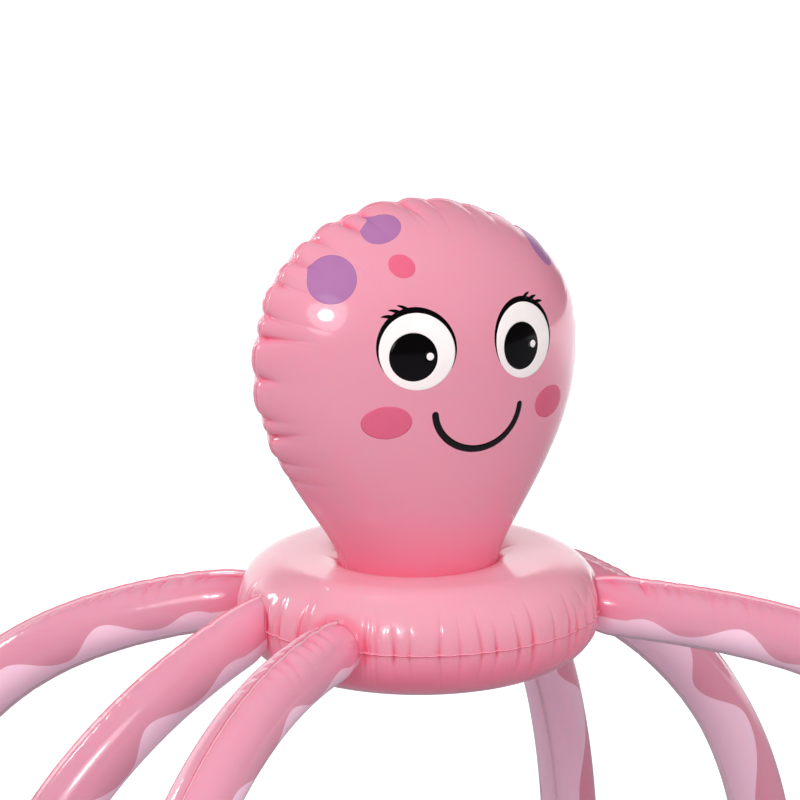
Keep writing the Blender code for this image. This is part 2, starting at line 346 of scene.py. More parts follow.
def vinyl(name, colour, seam_and_shade_tint=WELD_AND_SHADE_PINK, reach=0.08, glow=0.15, roughness=0.33):
    """Glossy translucent film: red light spreads far through it, and a painted glow stands in for the light
    that fills the air inside.
    """
    nodes = Nodes(name)
    place = nodes.attribute("rest_place").outputs["Vector"]
    tone = nodes.mix(nodes.ramp(nodes.noise(place, 5.0, 1.0), 0.0, 0.045), colour, seam_and_shade_tint)
    # this attribute mixes in the weld's colour at the seams, and painted shade in the folds' valleys and
    # where pieces meet
    weld_and_shade = nodes.attribute("weld_and_shade").outputs["Fac"]
    base = nodes.mix(weld_and_shade, tone, seam_and_shade_tint)
    shader = nodes.shader
    nodes.link(base, shader.inputs["Base Color"])
    nodes.link(nodes.ramp(nodes.noise(place, 9.0, 1.0), roughness - 0.02, roughness + 0.03),
               shader.inputs["Roughness"])
    shader.inputs["Subsurface Weight"].default_value = 0.4
    shader.inputs["Subsurface Radius"].default_value = (reach, 0.004, 0.007)
    shader.inputs["Subsurface Scale"].default_value = 1.0
    shader.inputs["Specular IOR Level"].default_value = 0.3
    # painted glow: an emission stands in for light that has been through the film three times
    painted_glow_colour = [(value / max(colour)) ** 3 for value in colour]
    shader.inputs["Emission Color"].default_value = (*painted_glow_colour, 1.0)
    shader.inputs["Emission Strength"].default_value = glow
    gloss_and_wobble(nodes, place)
    return nodes.material


def gloss_and_wobble(nodes, place, coat=1.0):
    """The clear gloss of calendered film, with its slow waves and fine orange peel."""
    shader = nodes.shader
    shader.inputs["IOR"].default_value = 1.53
    shader.inputs["Coat Weight"].default_value = coat
    shader.inputs["Coat IOR"].default_value = 1.60
    shader.inputs["Coat Roughness"].default_value = 0.075
    slow = nodes.add("ShaderNodeBump")
    slow.inputs["Strength"].default_value = 0.10
    slow.inputs["Distance"].default_value = 0.02
    nodes.link(nodes.noise(place, 7.0, 2.0), slow.inputs["Height"])
    fine = nodes.add("ShaderNodeBump")
    fine.inputs["Strength"].default_value = 0.05
    fine.inputs["Distance"].default_value = 0.0008
    nodes.link(nodes.noise(place, 900.0, 1.0), fine.inputs["Height"])
    nodes.link(slow.outputs["Normal"], fine.inputs["Normal"])
    nodes.link(fine.outputs["Normal"], shader.inputs["Normal"])


def weld_film(name):
    """The flat double film of a weld: paler than the skin, partly its own paler film and partly a painted
    backlight glow, with a pink cut edge.
    """
    nodes = Nodes(name)
    place = nodes.attribute("rest_place").outputs["Vector"]
    edge = nodes.add("ShaderNodeMath", operation="POWER")
    nodes.link(nodes.attribute("weld_and_shade").outputs["Fac"], edge.inputs[0])
    edge.inputs[1].default_value = 4.0
    nodes.link(nodes.mix(edge.outputs[0], FIN_PALE_BACKLIT_PINK, WELD_AND_SHADE_PINK), nodes.shader.inputs["Base Color"])
    nodes.link(nodes.ramp(nodes.noise(place, 40.0, 1.0), 0.22, 0.34), nodes.shader.inputs["Roughness"])
    gloss_and_wobble(nodes, place)
    return nodes.material


def print_film(name, colour):
    """Ink under the film's gloss, laid on a little unevenly."""
    nodes = Nodes(name)
    place = nodes.attribute("rest_place").outputs["Vector"]
    deep = tuple(value * 0.90 for value in colour)
    base = nodes.mix(nodes.ramp(nodes.noise(place, 14.0, 1.0), 0.0, 0.35), colour, deep)
    nodes.link(base, nodes.shader.inputs["Base Color"])
    nodes.shader.inputs["Specular IOR Level"].default_value = 0.05
    nodes.link(nodes.ramp(nodes.noise(place, 14.0, 1.0), 0.27, 0.32), nodes.shader.inputs["Roughness"])
    gloss_and_wobble(nodes, place, coat=0.4)
    return nodes.material


def clear_vinyl(name, colour):
    """Milky flexible PVC of the valves."""
    nodes = Nodes(name)
    place = nodes.add("ShaderNodeTexCoord").outputs["Object"]
    shader = nodes.shader
    tone = nodes.mix(nodes.ramp(nodes.noise(place, 60.0, 1.0), 0.10, 0.16), colour, PINK)
    nodes.link(tone, shader.inputs["Base Color"])
    nodes.link(nodes.ramp(nodes.noise(place, 90.0, 1.0), 0.24, 0.30), shader.inputs["Roughness"])
    # painted glow: a faint emission in the valve's own colour stands in for light through the milky film
    shader.inputs["Emission Color"].default_value = (*colour, 1.0)
    shader.inputs["Emission Strength"].default_value = 0.10
    bump = nodes.add("ShaderNodeBump")
    bump.inputs["Strength"].default_value = 0.03
    bump.inputs["Distance"].default_value = 0.0002
    nodes.link(nodes.noise(place, 700.0, 2.0), bump.inputs["Height"])
    nodes.link(bump.outputs["Normal"], shader.inputs["Normal"])
    return nodes.material


WELD_LOOK = weld_film("weld_look")

# ---------------------------------------------------------------- head
HEAD_PUCKER_LOW = 0.29    # below this height the outline is hollow and the weld lies smooth
CROWN_STEPS = 380
FLARE_STEPS = 170
NECK_STEPS = 16
HEAD_STEPS_IN = 64        # points from the middle of a panel out to the weld
TAUT_TURN = 141.0         # the front's folds are shallow round this angle, degrees
SLACK_TURN = 52.0         # the crown's +X shoulder is slacker round this angle, degrees
SLACK_SHARE = 0.040       # and comes in by this share of its radius


def head_outline():
    """Points up the +X side of the outline: (half width, height, depth, power, spine height)."""
    rows = []
    for index, (curve, count) in enumerate(((HEAD_NECK, NECK_STEPS), (HEAD_FLARE, FLARE_STEPS),
                                            (HEAD_CROWN, CROWN_STEPS))):
        t = np.arange(count) / count
        points = cubic(curve, t)
        share = (np.zeros(count), t, np.ones(count))[index]
        power = NECK_POWER + (BULB_POWER - NECK_POWER) * share
        depth = points[:, 1] if index < 2 else np.full(count, HEAD_DEPTH)
        spine = points[:, 2] if index < 2 else np.full(count, WIDEST)
        rows.append(np.stack([points[:, 0], points[:, 2], depth, power, spine], -1))
    rows.append(np.array([[0.0, HEAD_TOP, HEAD_DEPTH, BULB_POWER, WIDEST]]))
    return np.concatenate(rows)


def neck_creases():
    """Short upright folds round the neck where it leaves the ring."""
    around = tau * HEAD_NECK[-1][0]
    places = uneven_places(around, 0.028, 0.066, seed=21)
    draw = np.random.default_rng(22)
    return Creases(places, draw.uniform(0.0012, 0.0034, len(places)),
                   draw.uniform(0.03, 0.075, len(places)), core=0.003, broad=0.010)


def slack_shoulder(outline):
    """Draws the crown's +X shoulder in a little, where the bag is slacker."""
    turn = np.degrees(np.arctan2(outline[:, 1] - WIDEST, outline[:, 0]))
    share = SLACK_SHARE * np.exp(-((turn - SLACK_TURN) / 26.0) ** 2)
    share *= smooth((turn - 2.0) / 15.0)
    outline[:, 0] *= 1.0 - share
    outline[:, 1] = WIDEST + (outline[:, 1] - WIDEST) * (1.0 - share)
    return outline


def build_head():
    """The head's skin: both panels, their weld, and the closed neck."""
    side = head_outline()
    mirror = side[-2::-1] * np.array([-1.0, 1.0, 1.0, 1.0, 1.0])
    outline = np.concatenate([side, mirror])
    crown = outline[:, 1] > WIDEST
    outline[crown] = slack_shoulder(outline[crown])
    edge = outline[:, :2]
    step = np.linalg.norm(np.diff(edge, axis=0), axis=1)
    along = np.concatenate([[0.0], np.cumsum(step)])
    tangent = np.gradient(edge, axis=0)
    tangent /= np.linalg.norm(tangent, axis=1, keepdims=True)
    outward = np.stack([tangent[:, 1], -tangent[:, 0]], -1)

    places = uneven_places(along[-1], 0.036, 0.108, seed=11)
    draw = np.random.default_rng(5)
    height_at = np.interp(places, along, edge[:, 1])
    strength_at = smooth((height_at - HEAD_PUCKER_LOW) / 0.14)
    strength = smooth((edge[:, 1] - HEAD_PUCKER_LOW) / 0.14)
    side_share = 0.72 - 0.28 * np.tanh(edge[:, 0] / 0.10)
    strength = strength * side_share
    strength_at = strength_at * np.interp(places, along, side_share)
    lobe = scallop(along, places, 0.13, 0.0105) * strength
    turn = np.degrees(np.arctan2(edge[:, 1] - WIDEST, edge[:, 0]))
    from_taut = places - along[np.argmin(np.abs(turn - TAUT_TURN))]
    taut = {-1.0: 1.0 - 0.75 * np.exp(-(from_taut / 0.050) ** 2), 1.0: np.ones(len(places))}
    swell = outward * (lobe - 0.0050 * strength)[:, None]

    share = 1.0 - (1.0 - np.linspace(0.0, 1.0, HEAD_STEPS_IN)) ** 1.9
    spine = np.stack([np.zeros(len(outline)), outline[:, 4]], -1)
    flat = spine[:, None, :] + (edge - spine)[:, None, :] * share[None, :, None]
    lift = outline[:, 2, None] * np.maximum(1.0 - share[None, :] ** 2, 0.0) ** outline[:, 3, None]
    shrink = np.where(outline[:, 1, None] > WIDEST, share[None, :], 1.0)

    panels = []
    painted_shades = []
    neck = neck_creases()
    for facing in (-1.0, 1.0):
        long_fold = draw.random(len(places)) < 0.35
        depths = np.where(long_fold, draw.uniform(0.012, 0.017, len(places)),
                          draw.uniform(0.009, 0.015, len(places))) * strength_at * taut[facing]
        reaches = np.where(long_fold, draw.uniform(0.11, 0.16, len(places)),
                           draw.uniform(0.045, 0.085, len(places)))
        turns = draw.uniform(-0.22, 0.22, len(places))
        grid = np.stack([flat[..., 0], facing * (lift + WELD_HALF), flat[..., 1] + RING_HEIGHT], -1)
        normal = grid_normals(grid, wrap_columns=False)
        normal *= np.sign(normal[..., 1:2] * facing + 1e-9)
        steps = np.linalg.norm(np.diff(grid, axis=1), axis=-1)
        arc = np.concatenate([np.cumsum(steps[:, ::-1], axis=1)[:, ::-1], np.zeros((len(grid), 1))], 1)
        folds = Creases(places, depths, reaches, turn=turns)
        dent = folds.dent(along[:, None], arc, shrink) * smooth(arc / 0.009)
        # between its folds the film swells out, most at the weld
        near_weld = np.exp(-arc / 0.042)
        grid[..., [0, 2]] += swell[:, None, :] * near_weld[..., None]
        # painted shade low on the neck near the ring, and in the folds' valleys
        near_ring = np.exp(-np.maximum(grid[..., 2] - RING_HEIGHT - 0.10, 0.0) / 0.10)
        painted_shades.append(np.maximum(fold_painted_shade(dent, 0.012), NECK_PAINTED_SHADE * near_ring))
        dent -= 0.85 * lobe[:, None] * near_weld * smooth(arc / 0.012)
        bearing = np.arctan2(grid[..., 0], -grid[..., 1]) + pi
        above = np.maximum(grid[..., 2] - RING_HEIGHT - 0.095, 0.0)
        dent += neck.dent(bearing * HEAD_NECK[-1][0], above) * (grid[..., 2] < RING_HEIGHT + 0.2)
        grid = grid - normal * dent[..., None]
        grid[:, 0, 0] = 0.0      # both halves of a panel meet on its middle line
        panels.append(grid)

    rim = edge + swell + outward * HEAD_WELD
    fins = [np.stack([rim[:, 0], np.full(len(rim), facing * WELD_HALF), rim[:, 1] + RING_HEIGHT], -1)
            for facing in (-1.0, 1.0)]
    grid = np.concatenate([panels[0], fins[0][:, None], fins[1][:, None], panels[1][:, ::-1]], 1)
    rows, columns = grid.shape[:2]
    points = grid.reshape(-1, 3)
    faces = list(grid_faces(rows, columns, wrap_columns=False))

    # the neck's bottom is closed by a fan
    count = len(points)
    points = np.concatenate([points, [[0.0, 0.0, points[0][2]]]])
    for start in (0, (rows - 1) * columns):
        faces += [[count, start + column, start + column + 1] for column in range(columns - 1)]

    middle = HEAD_STEPS_IN
    # the seams get the weld's colour; the folds and the low neck get painted shade
    weld_and_shade = np.concatenate([painted_shades[0], np.zeros((rows, 2)), painted_shades[1][:, ::-1]], 1)
    weld_and_shade[:, middle:middle + 2] = 1.0
    weld_and_shade[:, [middle - 1, middle + 2]] = 0.75
    weld_and_shade = np.append(weld_and_shade.ravel(), 0.0)
    slots = np.zeros((rows - 1, columns - 1), int)
    slots[:, middle - 1:middle + 2] = 1
    slots = list(slots.ravel()) + [0] * (len(faces) - slots.size)
    made = make_piece("head_skin", points, faces, [vinyl("head_vinyl_look", PINK), WELD_LOOK],
                      {"rest_place": points, "weld_and_shade": weld_and_shade}, slots)
    open_for_valve(made, "head_valve_patch")
    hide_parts("head_front_panel", "head_back_panel", "head_base_disc")
    return made


# ---------------------------------------------------------------- prints on the head
def surface_over(tree, x, z):
    """The point of the head's front over (x, z above the weld plane), and its normal.

    A point beyond the weld is brought in to the weld.
    """
    place = None
    while place is None:
        place, normal, _, _ = tree.ray_cast(Vector((x, -1.0, z + RING_HEIGHT)), Vector((0.0, 1.0, 0.0)))
        x, z = x * 0.99, WIDEST + (z - WIDEST) * 0.99
    return place, normal


def print_band(tree, name, inner, outer, look, rings=12):
    """A thin printed band between two outlines of (x, z), or a patch when inner is one point."""
    outer = np.array(outer)
    inner = np.broadcast_to(np.array(inner, float), outer.shape)
    count = len(outer)
    points = []
    for ring in range(rings + 1):
        for x, z in inner + (outer - inner) * (ring / rings):
            place, normal = surface_over(tree, x, z)
            points.append(place + normal * PRINT_LIFT)
    return finish_print(name, points, grid_faces(rings + 1, count), look)


def print_stroke(tree, name, line, widths, look, slot, across=5):
    """A printed stroke along a line of (x, z) points with a width at each point."""
    line = np.array(line, float)
    tangent = np.gradient(line, axis=0)
    tangent /= np.linalg.norm(tangent, axis=1, keepdims=True)
    sideways = np.stack([-tangent[:, 1], tangent[:, 0]], -1)
    points = []
    for place, side, width in zip(line, sideways, widths):
        for step in range(across):
            x, z = place + side * width * (step / (across - 1) - 0.5)
            hit, normal = surface_over(tree, x, z)
            points.append(hit + normal * PRINT_LIFT)
    faces = grid_faces(len(line), across, wrap_columns=False)
    return finish_print(name, points, faces, look)


def finish_print(name, points, faces, look):
    """Makes a print a piece that rides on the head, with a little thickness."""
    points = np.array([tuple(point) for point in points])
    made = make_piece(name, points, faces, [look],
                      {"rest_place": points, "weld_and_shade": np.zeros(len(points))})
    work = bmesh.new()
    work.from_mesh(made.data)
    if sum(face.normal.y for face in work.faces) > 0.0:
        bmesh.ops.reverse_faces(work, faces=work.faces)
    work.to_mesh(made.data)
    work.free()
    film = made.modifiers.new("film", "SOLIDIFY")
    film.thickness = 0.00006
    film.offset = 1.0
    made.visible_shadow = False
    made.visible_diffuse = False
    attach(made, "head")
    return made


def oval(x, z, half_x, half_z, tilt=0.0, count=72):
    """Outline of a tilted oval, with the tilt in degrees."""
    turn = radians(tilt)
    outline = []
    for step in range(count):
        angle = tau * step / count
        across, up = half_x * cos(angle), half_z * sin(angle)
        outline.append((x + across * cos(turn) - up * sin(turn), z + across * sin(turn) + up * cos(turn)))
    return outline


PRINT_LIFT = 0.0004       # how far a print lies above the skin
EYE_MIDDLE = 0.005        # the eyes' midline
EYE_SPACING = 0.142       # from the midline to an eye
EYE_HEIGHT = 0.658
EYE_RADIUS = 0.0865
LID_RADIUS = 0.0915
LID_LIFT = 0.008
PUPIL_RADIUS = 0.0545
GLINT_RADIUS = 0.0087
LASH_BEARINGS = (20.0, 32.5, 45.0)   # of the tips, from straight up, degrees
LASH_LENGTH = 0.0165
MOUTH_MIDDLE = 0.017
MOUTH_HEIGHT = 0.519
MOUTH_HALF = 0.115
MOUTH_DROP = 0.098
MOUTH_STROKE = 0.0165
CHEEK_SPACING = 0.222
CHEEK_HEIGHT = 0.499


def lid_stroke(x):
    """Line and widths of an eye's lid: what shows of a raised circle above the white."""
    angle = np.radians(np.linspace(-28.0, 208.0, 90))
    away = np.stack([np.cos(angle), np.sin(angle)], -1)
    # distance from the eye's centre to the raised circle in each direction
    rise = LID_LIFT * away[:, 1]
    reach = rise + np.sqrt(LID_RADIUS**2 - LID_LIFT**2 + rise**2)
    width = np.maximum(reach - EYE_RADIUS, 0.0008)
    line = np.array([x, EYE_HEIGHT]) + away * (EYE_RADIUS + width / 2.0)[:, None]
    return line, width


def lash_stroke(x, side, bearing):
    """Line and widths of one lash, hooked outwards, on the eye at x."""
    steps = np.linspace(0.0, 1.0, 16)
    lean = np.radians(bearing - 10.0 + 10.0 * steps**1.4)
    reach = LID_RADIUS - 0.002 + LASH_LENGTH * steps
    line = np.stack([x + side * reach * np.sin(lean), EYE_HEIGHT + LID_LIFT * 0.6 + reach * np.cos(lean)], -1)
    width = 0.0080 * (1.0 - steps) + 0.0036 * np.sqrt(np.maximum(1.0 - steps**6, 0.02))
    return line, width


def mouth_stroke():
    """Line and widths of the mouth: the lower half of an oval with round ends."""
    angle = np.linspace(pi, tau, 400)
    curve = np.stack([MOUTH_MIDDLE + MOUTH_HALF * np.cos(angle),
                      MOUTH_HEIGHT + MOUTH_DROP * np.sin(angle)], -1)
    length = np.concatenate([[0.0], np.cumsum(np.linalg.norm(np.diff(curve, axis=0), axis=1))])
    half = MOUTH_STROKE / 2.0
    cap = half * (1.0 - np.cos(np.linspace(0.0, pi / 2.0, 8)))
    stations = np.concatenate([cap, np.linspace(half, length[-1] - half, 110)[1:-1], length[-1] - cap[::-1]])
    line = np.stack([np.interp(stations, length, curve[:, axis]) for axis in range(2)], -1)
    into_cap = np.clip(np.minimum(stations, length[-1] - stations) / half, 0.0, 1.0)
    return line, MOUTH_STROKE * np.sqrt(np.maximum(1.0 - (1.0 - into_cap) ** 2, 0.004))


def build_eye(tree, side_name, side, ink, white):
    """The prints of one eye: lid, lashes, white, pupil and glint, side by side on the skin."""
    x = EYE_MIDDLE + side * EYE_SPACING
    pupil = (x - 0.011, EYE_HEIGHT - 0.011)
    glint = (pupil[0] + 0.037, pupil[1])
    white_edge = oval(x, EYE_HEIGHT, EYE_RADIUS, EYE_RADIUS, count=120)
    pupil_edge = oval(*pupil, PUPIL_RADIUS, PUPIL_RADIUS, count=120)
    glint_edge = oval(*glint, GLINT_RADIUS, GLINT_RADIUS, count=120)
    print_stroke(tree, f"{side_name}_eye_lid_print", *lid_stroke(x), ink, "ink_print")
    print_band(tree, f"{side_name}_eye_white_print", pupil_edge, white_edge, white)
    print_band(tree, f"{side_name}_pupil_print", glint_edge, pupil_edge, ink)
    print_band(tree, f"{side_name}_glint_print", glint, glint_edge, white, rings=3)
    for index, bearing in enumerate(LASH_BEARINGS):
        print_stroke(tree, f"{side_name}_lash_{index + 1}_print", *lash_stroke(x, side, bearing), ink,
                     "ink_print")


def build_prints(head):
    """The printed face and spots, each a patch that follows the head's skin."""
    work = bmesh.new()
    work.from_mesh(head.data)
    tree = BVHTree.FromBMesh(work)
    work.free()
    ink = print_film("ink_print_look", INK)
    white = print_film("white_print_look", EYE_WHITE)
    blush = print_film("blush_print_look", DEEP_PINK)
    purple = print_film("purple_print_look", PURPLE)

    for side_name, side in (("left", -1.0), ("right", 1.0)):
        build_eye(tree, side_name, side, ink, white)
        cheek = (MOUTH_MIDDLE + side * CHEEK_SPACING, CHEEK_HEIGHT)
        print_band(tree, f"{side_name}_cheek_print", cheek, oval(*cheek, 0.054, 0.0385, count=96), blush,
                   rings=14)
    print_stroke(tree, "mouth_print", *mouth_stroke(), ink, "ink_print")

    spots = {
        "crown_spot_1_print": (-0.2870, 0.8165, 0.0395, 0.058, -40.0, purple, "purple_print"),
        "crown_spot_2_print": (-0.146, 0.9175, 0.051, 0.023, 22.0, purple, "purple_print"),
        "crown_spot_3_print": (0.289, 0.842, 0.029, 0.044, 32.0, purple, "purple_print"),
        "crown_dot_print": (-0.139, 0.843, 0.030, 0.0245, 10.0, blush, "blush_print"),
    }
    for name, (x, z, half_x, half_z, tilt, look, slot) in spots.items():
        print_band(tree, name, (x, z), oval(x, z, half_x, half_z, tilt, count=150), look, rings=32)


# ---------------------------------------------------------------- ring
RING_AROUND = 1700        # points round the ring
RING_SECTION = 120        # points round its tube
RING_WELD = 0.0032
HUG_POWER = 4.2           # how squarely the upper sheet swells against the neck
HUG_HEIGHT = 0.095        # height at which the neck presses on the ring
NECK_PRESS = 0.018        # how far the ring swells against the neck
RING_LOW_PAINTED_SHADE = 0.62      # painted shade: share of the weld's colour just under the ring's weld
LOOP_RADIUS = 0.064       # radius of the weld loop at an arm's root
LOOP_PINCH = 0.008        # how deeply the ring is drawn in round a loop


def neck_radius(bearing):
    """Distance from the axis to the neck where it presses on the ring, at bearings in radians."""
    points = cubic(HEAD_NECK, np.linspace(0.0, 1.0, 60))
    width = np.interp(HUG_HEIGHT, points[:, 2], points[:, 0])
    depth = np.interp(HUG_HEIGHT, points[:, 2], points[:, 1])
    return width * depth / np.hypot(depth * np.sin(bearing), width * np.cos(bearing))


def arm_bearing(name):
    """Bearing of an arm from the face, in radians, and its foot's distance from the axis."""
    low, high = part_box(name + "_sole")
    x, y = (low.x + high.x) / 2.0, (low.y + high.y) / 2.0
    return atan2(x, -y), (x * x + y * y) ** 0.5


def ring_folds(length):
    """The ring's folds at its outer weld: large, fine, and the ones beside the arms."""
    draw = np.random.default_rng(8)
    large = uneven_places(length, 0.030, 0.075, seed=3)
    folds = [Creases(large, draw.uniform(0.0060, 0.0150, len(large)),
                     draw.uniform(0.070, 0.130, len(large)), core=0.0036, broad=0.012, sharp=0.62,
                     turn=draw.uniform(-0.12, 0.12, len(large)))]
    fine = uneven_places(length, 0.011, 0.030, seed=4)
    folds.append(Creases(fine, draw.uniform(0.0006, 0.0026, len(fine)),
                         draw.uniform(0.030, 0.080, len(fine)), core=0.0025, broad=0.006))
    beside = [(arm_bearing(name)[0] % tau) * RING_OUTER + offset
              for name in ARM_SHAPES for offset in (-0.098, -0.083, 0.084, 0.101)]
    folds.append(Creases(np.array(beside) % length, draw.uniform(0.004, 0.009, len(beside)),
                         draw.uniform(0.10, 0.15, len(beside)), core=0.0035, broad=0.012,
                         turn=draw.uniform(-0.2, 0.2, len(beside))))
    return folds


def build_ring():
    """The ring's skin: upper and lower sheet with the weld round the outside."""
    turn = (np.arange(RING_AROUND) * tau / RING_AROUND)[:, None]
    half = RING_SECTION // 2
    spread = np.linspace(0.0, 1.0, half + 1)
    upper = pi * (0.35 * spread + 0.65 * spread**1.8)      # closer together at the outer weld
    section = np.concatenate([upper, tau - upper[-2::-1]])[None, :]
    length = tau * RING_OUTER
    along = turn * RING_OUTER
    away = np.minimum(section, tau - section) * RING_TUBE

    dent = sum(folds.dent(along, away) for folds in ring_folds(length))
    inner_length = tau * (RING_RADIUS - RING_TUBE)
    inner = uneven_places(inner_length, 0.020, 0.060, seed=9)
    draw = np.random.default_rng(10)
    hole = Creases(inner, draw.uniform(0.0020, 0.0065, len(inner)), draw.uniform(0.04, 0.11, len(inner)),
                   core=0.0028, broad=0.008, turn=draw.uniform(-0.3, 0.3, len(inner)))
    from_neck = np.maximum(pi * 0.80 * RING_TUBE - away, 0.0)
    dent += hole.dent(turn * (RING_RADIUS - RING_TUBE), from_neck)

    # the section: round outside and underneath, swelling in towards the neck on top
    across, up = np.cos(section), np.sin(section)
    hug = (across < 0.0) & (up > 0.0)
    inner_half = RING_RADIUS - neck_radius(turn) + NECK_PRESS
    power = 2.0 / HUG_POWER
    across = np.where(hug, -np.abs(across) ** power, across)
    up = np.where(hug, np.abs(up) ** power, up)
    reach = np.where(across < 0.0, inner_half, RING_TUBE)
    grid = np.stack([np.broadcast_to(values, np.broadcast_shapes(turn.shape, section.shape)) for values in
                     ((RING_RADIUS + reach * across) * np.sin(turn),
                      -(RING_RADIUS + reach * across) * np.cos(turn),
                      RING_HEIGHT + RING_TUBE * up)], -1).copy()

    # the weld loops of the arms draw the ring in
    for name in ARM_SHAPES:
        bearing, _ = arm_bearing(name)
        drop = (RING_OUTER - ARM_AIM) * np.tan(radians(ARM_SHAPES[name][0]))
        centre = np.array([sin(bearing) * RING_OUTER, -cos(bearing) * RING_OUTER, RING_HEIGHT - drop])
        distance = np.linalg.norm(grid - centre, axis=-1)
        dent += LOOP_PINCH * np.exp(-((distance - LOOP_RADIUS) / 0.017) ** 2)

    # painted shade: the ring is darkened toward the weld's colour just under its weld, over its lower half
    # and in its folds' valleys
    below = np.where(section > pi, tau - section, -section)
    shade = RING_LOW_PAINTED_SHADE * np.exp(-((below - 0.62) / 0.62) ** 2)
    shade = np.maximum(shade, 0.3 * smooth(-1.6 * np.sin(section)))
    ring_painted_shade = np.maximum(fold_painted_shade(dent, 0.012), shade)
    normal = grid_normals(grid, wrap_rows=True, wrap_columns=True)
    out = np.stack([np.sin(turn), -np.cos(turn), np.zeros_like(turn)], -1)
    middle = out * RING_RADIUS + np.array([0.0, 0.0, RING_HEIGHT])
    normal *= np.sign(np.sum(normal * (grid - middle), -1, keepdims=True))
    normal[:, 0] = out[:, 0]
    normal[:, -1] = out[:, 0]
    dent[:, [0, -1]] *= 0.6
    grid -= normal * dent[..., None]

    # the weld stands out as a thin fin between the section's first and last points
    lift = np.array([0.0, 0.0, WELD_HALF])
    grid[:, 0] += lift
    grid[:, -1] -= lift
    fins = [grid[:, -1:] + out * RING_WELD, grid[:, :1] + out * RING_WELD]
    grid = np.concatenate([grid] + fins, 1)
    rows, columns = grid.shape[:2]
    # the weld gets its own colour; the rest carries the painted shade
    weld_and_shade = np.concatenate([ring_painted_shade, np.zeros((rows, 2))], 1)
    weld_and_shade[:, [-2, -1]] = 1.0
    weld_and_shade[:, [0, -3]] = 0.6
    slots = np.zeros((rows, columns), int)
    slots[:, -3:] = 1
    points = grid.reshape(-1, 3)
    faces = grid_faces(rows, columns, wrap_rows=True)
    made = make_piece("ring_skin", points, faces, [vinyl("ring_vinyl_look", RING_PINK), WELD_LOOK],
                      {"rest_place": points, "weld_and_shade": weld_and_shade.ravel()}, slots.ravel())
    open_for_valve(made, "ring_valve_patch")
    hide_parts("ring_top_sheet", "ring_bottom_sheet")
    return made


# ---------------------------------------------------------------- arms
ARM_STEPS = 560           # points along an arm
ARM_FINE = (0.60, 0.68)   # the length next to the ring that takes this share of them
PRINT_EDGE = 105.0        # degrees from the top weld to the middle of the print's wavy edge
PRINT_TURNS = (-0.03, 0.07, 0.165, 0.30, 0.42, 0.57, 0.83, 1.15, 1.50)   # where the edge turns
PRINT_WAVE = (10.0, 28.0)  # the wave's height at the ring and further out, degrees
SIDE_TOP = 22             # faces from the top weld down to the print's edge
SIDE_LOW = 14             # faces from the print's edge to the weld underneath
ROOT_SHRINK = 0.83        # an arm narrows to this share of its width at its weld loop
ROOT_LENGTH = 0.030       # from where the tube starts to where it has its full width
LOOP_FIN = 0.0035         # how far the weld loop stands out


def ring_contact(place, direction, sink=0.002):
    """Where a line from place along direction meets the ring's skin, sunk a little into it."""
    low, high = 0.0, 0.12
    for _ in range(40):
        middle = (low + high) / 2.0
        point = place + direction * middle
        gap = np.hypot(np.hypot(point[0], point[1]) - RING_RADIUS, point[2] - RING_HEIGHT) - RING_TUBE
        if gap + LOOP_PINCH > -sink:
            low = middle
        else:
            high = middle
    return place + direction * high


def arm_line(name):
    """Centre line, tangents, arc lengths and radii of an arm, with its plane's unit vectors."""
    dip, root_handle, foot_handle, _ = ARM_SHAPES[name]
    low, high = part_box(name + "_sole")
    foot = Vector(((low.x + high.x) / 2.0, (low.y + high.y) / 2.0))
    out = np.array([*foot.normalized(), 0.0])
    up = np.array([0.0, 0.0, 1.0])
    slope = out * cos(radians(dip)) - up * sin(radians(dip))
    start = out * ARM_AIM + slope * ((ARM_START - ARM_AIM) / cos(radians(dip))) + up * RING_HEIGHT
    end = out * foot.length + up * SOLE_THICKNESS
    curve = (start, start + slope * root_handle, end + up * foot_handle, end)
    t = np.linspace(0.0, 1.0, 1200)
    line = cubic(curve, t)
    arc = np.concatenate([[0.0], np.cumsum(np.linalg.norm(np.diff(line, axis=0), axis=1))])
    stations = np.interp(np.linspace(0.0, 1.0, ARM_STEPS), (0.0, ARM_FINE[1], 1.0),
                         (0.0, ARM_FINE[0], arc[-1]))
    line = np.stack([np.interp(stations, arc, line[:, axis]) for axis in range(3)], -1)
    radius = np.interp(stations, arc, ARM_ROOT_RADIUS + (ARM_FOOT_RADIUS - ARM_ROOT_RADIUS) * t)
    tangent = np.gradient(line, stations, axis=0)
    tangent /= np.linalg.norm(tangent, axis=1, keepdims=True)
    tangent[0] = slope
    tangent[-1] = -up
    return line, tangent, stations, radius, out, slope


def arm_folds(length, index, side, pucker):
    """Folds along an arm's top weld, strong at the ring and gone half-way, on one side."""
    near = uneven_places(min(length, 0.60), 0.020, 0.046, seed=60 + index)
    draw = np.random.default_rng(40 + index + (0 if side > 0.0 else 20))
    depths = pucker * draw.uniform(0.0050, 0.0120, len(near)) * np.exp(-(near / 0.30) ** 1.6)
    reaches = (0.4 + 0.6 * pucker) * draw.uniform(0.045, 0.100, len(near))
    return Creases(near, depths, reaches, core=0.0050, broad=0.012, sharp=0.30,
                   turn=0.25 + draw.uniform(-0.15, 0.15, len(near)))


